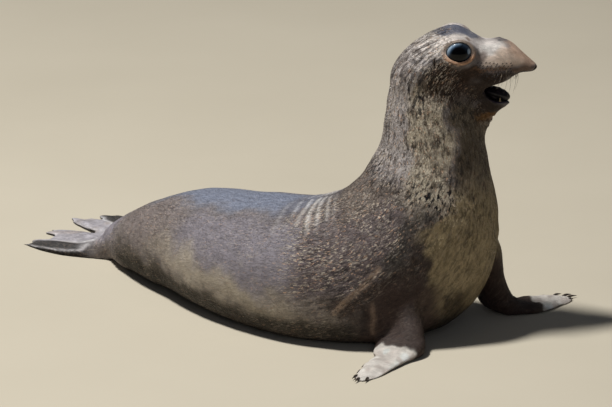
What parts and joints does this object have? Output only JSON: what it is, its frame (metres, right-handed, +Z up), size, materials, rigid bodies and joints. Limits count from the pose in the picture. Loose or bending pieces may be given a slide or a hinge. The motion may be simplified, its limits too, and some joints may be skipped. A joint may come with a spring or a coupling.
{
  "type": "elephant seal model",
  "caption": "Life-size young elephant seal lying on its belly, chest propped on its fore flippers, neck upright, head turned, mouth a little open.",
  "frame": {"origin": "on the floor in the middle of the flat under the belly", "axes": "+Z up, +X from the tail towards the chest, +Y to the animal's left"},
  "size_m": [1.9649, 1.1086, 0.9882],
  "materials": {
    "coat": "short wet fur, satin",
    "flipper_skin": "bare skin and thin fur, satin",
    "eye": "wet, glossy",
    "mouth": "wet, glossy",
    "tooth": "satin",
    "claw": "satin"
  },
  "bodies": {
    "root": {"head": "coat", "proboscis": "coat", "lower_jaw": "coat", "neck": "coat", "chest": "coat", "trunk": "coat", "rump": "coat", "tail": "coat", "fore_flipper_right": "flipper_skin", "fore_flipper_left": "flipper_skin", "hind_flipper_right": "flipper_skin", "hind_flipper_left": "flipper_skin", "eye_right": "eye", "eye_left": "eye", "tongue": "mouth", "lower_canine_right": "tooth", "lower_canine_left": "tooth", "claw_right_1": "claw", "claw_right_2": "claw", "claw_right_3": "claw", "claw_right_4": "claw", "claw_right_5": "claw", "claw_left_1": "claw", "claw_left_2": "claw", "claw_left_3": "claw", "claw_left_4": "claw", "claw_left_5": "claw"}
  },
  "joints": []
}
